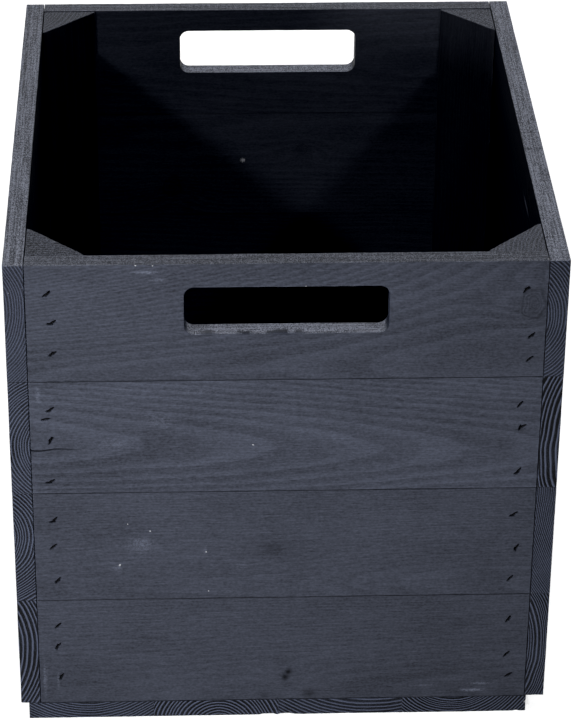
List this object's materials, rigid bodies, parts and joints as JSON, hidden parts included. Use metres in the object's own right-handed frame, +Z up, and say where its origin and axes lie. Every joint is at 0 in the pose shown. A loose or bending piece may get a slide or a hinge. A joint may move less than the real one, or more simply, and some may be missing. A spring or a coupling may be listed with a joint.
{
  "type": "wooden apple crate",
  "caption": "Open-topped storage crate of dark stained boards stapled to triangular corner posts, with a board floor and a hand hole in the front and the back.",
  "frame": {"origin": "middle of the crate's outline, on the surface it stands on", "axes": "+Z up; -Y towards the front, which has a hand hole; +X to the right as seen from the front"},
  "size_m": [0.33, 0.375, 0.325],
  "materials": {
    "wall_wood": "black-blue stained sawn softwood, low sheen",
    "floor_wood": "black-blue stained sawn softwood, worn",
    "post_wood": "black-blue stained sawn softwood, rough tops",
    "staple_steel": "steel wire darkened by the stain"
  },
  "bodies": {
    "root": {"front_board_1": "wall_wood", "front_board_2": "wall_wood", "front_board_3": "wall_wood", "front_board_4": "wall_wood", "right_board_1": "wall_wood", "right_board_2": "wall_wood", "right_board_3": "wall_wood", "right_board_4": "wall_wood", "back_board_1": "wall_wood", "back_board_2": "wall_wood", "back_board_3": "wall_wood", "back_board_4": "wall_wood", "left_board_1": "wall_wood", "left_board_2": "wall_wood", "left_board_3": "wall_wood", "left_board_4": "wall_wood", "floor_board_1": "floor_wood", "floor_board_2": "floor_wood", "floor_board_3": "floor_wood", "floor_board_4": "floor_wood", "post_front_left": "post_wood", "post_front_right": "post_wood", "post_back_right": "post_wood", "post_back_left": "post_wood", "staple_front_1l": "staple_steel", "staple_front_1r": "staple_steel", "staple_front_2l": "staple_steel", "staple_front_2r": "staple_steel", "staple_front_3l": "staple_steel", "staple_front_3r": "staple_steel", "staple_front_4l": "staple_steel", "staple_front_4r": "staple_steel", "staple_right_1l": "staple_steel", "staple_right_1r": "staple_steel", "staple_right_2l": "staple_steel", "staple_right_2r": "staple_steel", "staple_right_3l": "staple_steel", "staple_right_3r": "staple_steel", "staple_right_4l": "staple_steel", "staple_right_4r": "staple_steel", "staple_back_1l": "staple_steel", "staple_back_1r": "staple_steel", "staple_back_2l": "staple_steel", "staple_back_2r": "staple_steel", "staple_back_3l": "staple_steel", "staple_back_3r": "staple_steel", "staple_back_4l": "staple_steel", "staple_back_4r": "staple_steel", "staple_left_1l": "staple_steel", "staple_left_1r": "staple_steel", "staple_left_2l": "staple_steel", "staple_left_2r": "staple_steel", "staple_left_3l": "staple_steel", "staple_left_3r": "staple_steel", "staple_left_4l": "staple_steel", "staple_left_4r": "staple_steel", "staple_floor_front_left": "staple_steel", "staple_floor_front_right": "staple_steel", "staple_floor_back_right": "staple_steel", "staple_floor_back_left": "staple_steel"}
  },
  "joints": []
}
